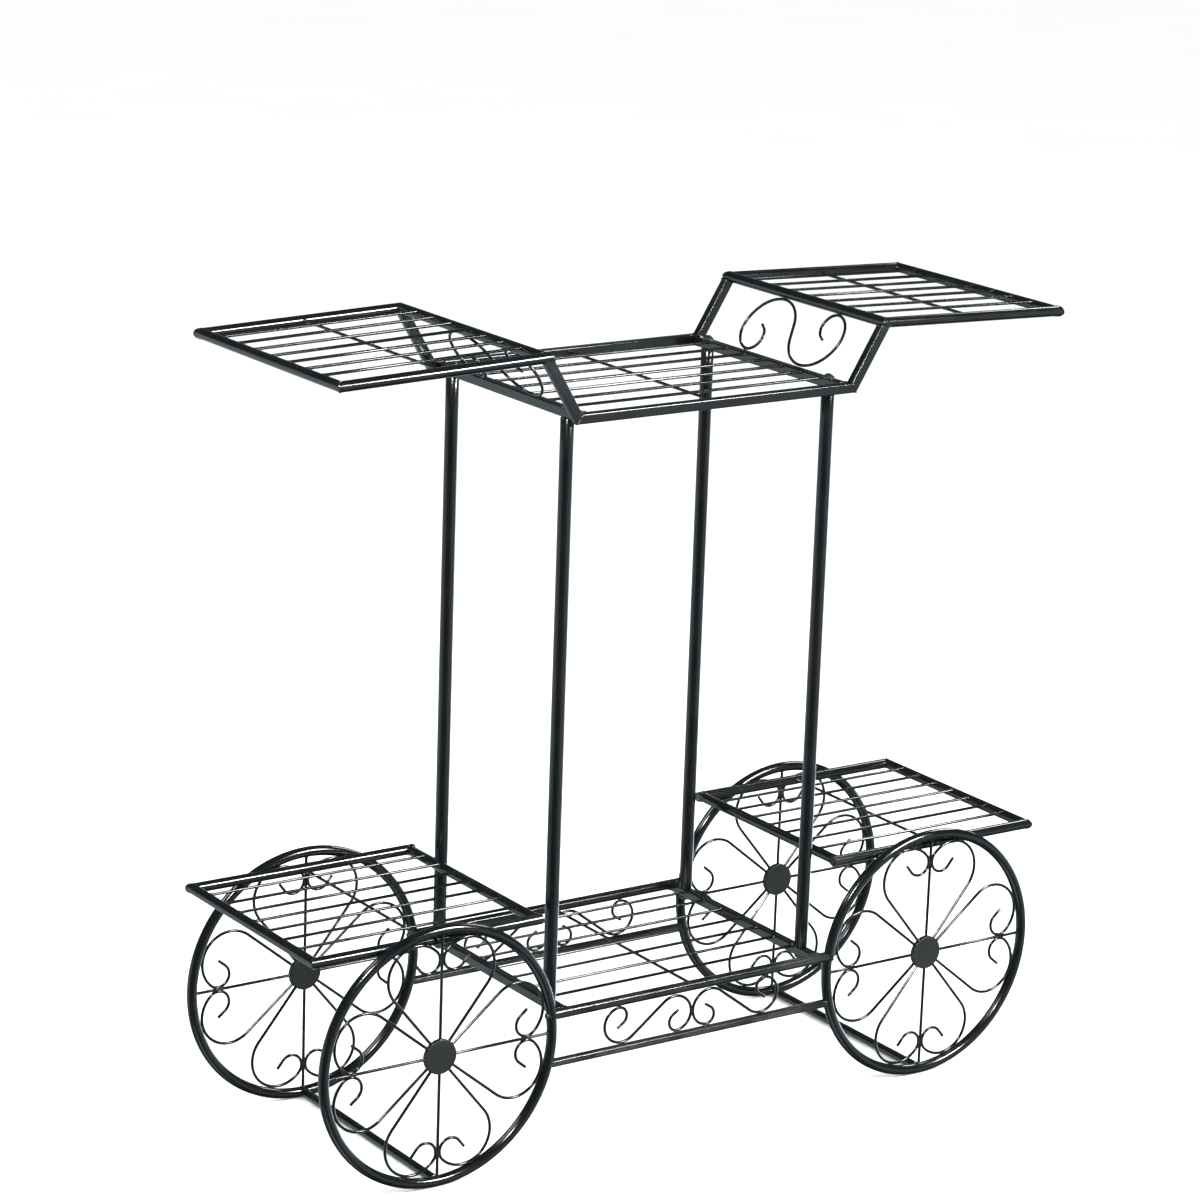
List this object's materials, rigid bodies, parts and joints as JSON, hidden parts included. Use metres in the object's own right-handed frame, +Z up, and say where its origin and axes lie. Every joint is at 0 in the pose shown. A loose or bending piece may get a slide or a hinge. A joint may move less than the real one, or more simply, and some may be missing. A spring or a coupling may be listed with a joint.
{
  "type": "plant trolley",
  "caption": "Cart-shaped garden plant stand in black powder-coated steel tube and wire, with fixed scroll-filled wheels and open wire shelves stepped out on three levels.",
  "frame": {"origin": "on the floor, at the centre of the footprint, midway between the four wheels", "axes": "+X along the length towards the right-hand shelves, +Y from the front wheels to the rear wheels, +Z up"},
  "size_m": [0.8944, 0.2784, 0.8344],
  "materials": {
    "frame_coat": "semi-gloss",
    "hub_coat": "matte",
    "fasteners": "satin"
  },
  "bodies": {
    "root": {"floor_cross_bar_left": "frame_coat", "floor_cross_bar_right": "frame_coat", "hub_disc_front_left": "hub_coat", "hub_disc_front_right": "hub_coat", "hub_disc_rear_left": "hub_coat", "hub_disc_rear_right": "hub_coat", "lower_centre_frame": "frame_coat", "lower_centre_grid": "frame_coat", "lower_outer_frame_left": "frame_coat", "lower_outer_frame_right": "frame_coat", "lower_outer_grid_left": "frame_coat", "lower_outer_grid_right": "frame_coat", "lower_rail_front": "frame_coat", "lower_rail_rear": "frame_coat", "post_bolt_lower_front_left": "fasteners", "post_bolt_lower_front_right": "fasteners", "post_bolt_lower_rear_left": "fasteners", "post_bolt_lower_rear_right": "fasteners", "post_bolt_upper_front_left": "fasteners", "post_bolt_upper_front_right": "fasteners", "post_bolt_upper_rear_left": "fasteners", "post_bolt_upper_rear_right": "fasteners", "post_front_left": "frame_coat", "post_front_right": "frame_coat", "post_rear_left": "frame_coat", "post_rear_right": "frame_coat", "rail_scrolls_front": "frame_coat", "rail_scrolls_rear": "frame_coat", "ring_bolt_front_left": "fasteners", "ring_bolt_front_right": "fasteners", "ring_bolt_rear_left": "fasteners", "ring_bolt_rear_right": "fasteners", "scroll_heart_front_left_bottom": "frame_coat", "scroll_heart_front_left_left": "frame_coat", "scroll_heart_front_left_right": "frame_coat", "scroll_heart_front_left_top": "frame_coat", "scroll_heart_front_right_bottom": "frame_coat", "scroll_heart_front_right_left": "frame_coat", "scroll_heart_front_right_right": "frame_coat", "scroll_heart_front_right_top": "frame_coat", "scroll_heart_rear_left_bottom": "frame_coat", "scroll_heart_rear_left_left": "frame_coat", "scroll_heart_rear_left_right": "frame_coat", "scroll_heart_rear_left_top": "frame_coat", "scroll_heart_rear_right_bottom": "frame_coat", "scroll_heart_rear_right_left": "frame_coat", "scroll_heart_rear_right_right": "frame_coat", "scroll_heart_rear_right_top": "frame_coat", "upper_centre_frame": "frame_coat", "upper_centre_grid": "frame_coat", "upper_outer_frame_left": "frame_coat", "upper_outer_frame_right": "frame_coat", "upper_outer_grid_left": "frame_coat", "upper_outer_grid_right": "frame_coat", "upper_scroll_left": "frame_coat", "upper_scroll_right": "frame_coat", "wheel_ring_front_left": "frame_coat", "wheel_ring_front_right": "frame_coat", "wheel_ring_rear_left": "frame_coat", "wheel_ring_rear_right": "frame_coat"}
  },
  "joints": []
}
